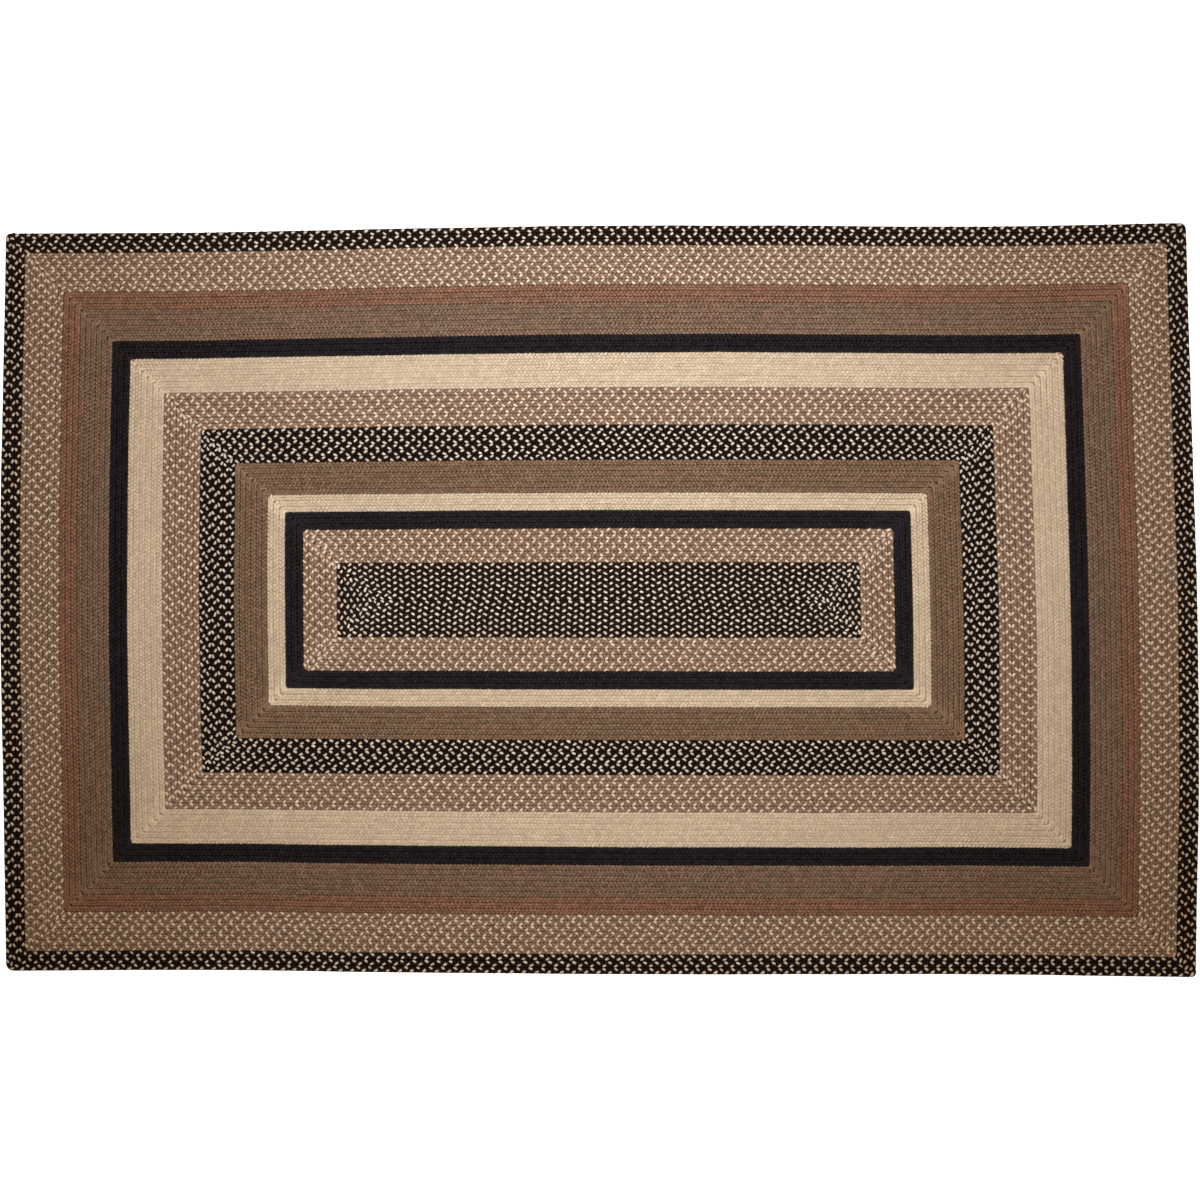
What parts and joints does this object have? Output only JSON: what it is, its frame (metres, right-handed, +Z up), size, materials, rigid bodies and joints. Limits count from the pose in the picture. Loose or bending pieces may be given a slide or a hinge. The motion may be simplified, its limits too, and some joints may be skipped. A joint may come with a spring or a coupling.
{
  "type": "braided rug",
  "caption": "Flat rectangular floor rug of sewn jute braid, in concentric bands of black, tan, rust, olive, brown and cream.",
  "frame": {"origin": "middle of the flat underside", "axes": "+X along the rug's length, +Y across its width, +Z up from the floor"},
  "size_m": [2.44, 1.5339, 0.008],
  "materials": {
    "black_fleck": "matt jute braid, two black strands and one cream",
    "tan_fleck": "matt jute braid, two tan brown strands and one cream",
    "rust": "matt jute braid, rust brown",
    "olive_brown": "matt jute braid, brown and olive yarns mixed",
    "black": "matt jute braid, black",
    "cream": "matt jute braid, cream",
    "brown": "matt jute braid, brown yarns mixed"
  },
  "bodies": {
    "root": {"band_01_black_fleck": "black_fleck", "band_02_tan_fleck": "tan_fleck", "band_03_rust": "rust", "band_04_olive_brown": "olive_brown", "band_05_black": "black", "band_06_cream": "cream", "band_07_tan_fleck": "tan_fleck", "band_08_black_fleck": "black_fleck", "band_09_brown": "brown", "band_10_cream": "cream", "band_11_black": "black", "band_12_tan_fleck": "tan_fleck", "centre_black_fleck": "black_fleck"}
  },
  "joints": []
}
